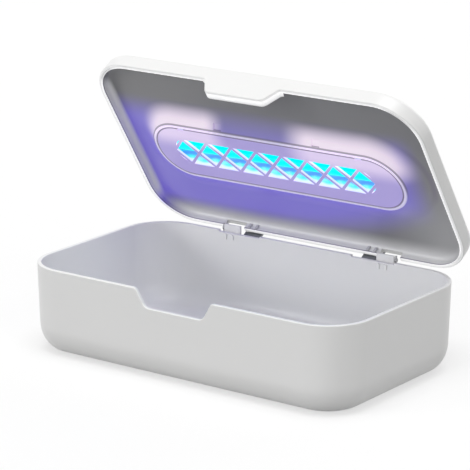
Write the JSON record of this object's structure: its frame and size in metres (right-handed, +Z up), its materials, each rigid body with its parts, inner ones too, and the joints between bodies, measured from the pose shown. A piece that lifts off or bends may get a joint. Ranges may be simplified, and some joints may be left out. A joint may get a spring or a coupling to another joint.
{
  "type": "phone sanitizer box",
  "caption": "Rounded white box with a front finger notch and a hinged lid that holds an ultraviolet lamp behind a latticed window.",
  "frame": {"origin": "middle of the tub's flat underside; the four feet stand 0.8 mm below it", "axes": "+X along the box to the right as seen from the front, +Y from the notch to the hinges, +Z up"},
  "size_m": [0.23, 0.1461, 0.1694],
  "materials": {
    "tub_shell": "satin white moulding",
    "tub_feet": "soft grey pads",
    "interlock_magnet": "plated disc",
    "hinge_bracket_left": "white moulding",
    "hinge_bracket_right": "white moulding",
    "hinge_pin_left": "drawn wire",
    "hinge_pin_right": "drawn wire",
    "lid_cover": "satin white moulding",
    "lid_liner": "satin white moulding",
    "hinge_leaf_left": "dark satin steel",
    "hinge_leaf_right": "dark satin steel",
    "lamp_cover": "pale lilac, polished",
    "reflector": "polished sheet",
    "lamp_tube": "clear tube",
    "lamp_holder_left": "moulded block",
    "lamp_holder_right": "moulded block",
    "driver_board": "circuit board",
    "step_up_transformer": "taped winding",
    "battery_cell": "foil pouch",
    "charge_board": "circuit board",
    "charge_socket": "plated shell",
    "button_switch": "switch on its board",
    "status_light": "clear light guide",
    "interlock_sensor": "moulded sensor",
    "liner_screws": "zinc plated",
    "lid_leads": "insulated wire",
    "power_button": "satin white moulding"
  },
  "bodies": {
    "base": {"tub_shell": "tub_shell", "tub_feet": "tub_feet", "interlock_magnet": "interlock_magnet", "hinge_bracket_left": "hinge_bracket_left", "hinge_bracket_right": "hinge_bracket_right", "hinge_pin_left": "hinge_pin_left", "hinge_pin_right": "hinge_pin_right"},
    "lid": {"lid_cover": "lid_cover", "lid_liner": "lid_liner", "hinge_leaf_left": "hinge_leaf_left", "hinge_leaf_right": "hinge_leaf_right", "lamp_cover": "lamp_cover", "reflector": "reflector", "lamp_tube": "lamp_tube", "lamp_holder_left": "lamp_holder_left", "lamp_holder_right": "lamp_holder_right", "driver_board": "driver_board", "step_up_transformer": "step_up_transformer", "battery_cell": "battery_cell", "charge_board": "charge_board", "charge_socket": "charge_socket", "button_switch": "button_switch", "status_light": "status_light", "interlock_sensor": "interlock_sensor", "liner_screws": "liner_screws", "lid_leads": "lid_leads"},
    "button": {"power_button": "power_button"}
  },
  "joints": [
    {"name": "lid_hinge", "type": "hinge", "parent": "base", "child": "lid", "pos_m": [0, 0.0683, 0.048], "axis": [-1, 0, 0], "range_deg": [-57, 43]},
    {"name": "button_press", "type": "slide", "parent": "lid", "child": "button", "axis": [0, -0.8387, -0.5446], "range_m": [0, 0.0004], "stiffness_N_per_m": 2500, "springref_m": -0.0002}
  ]
}
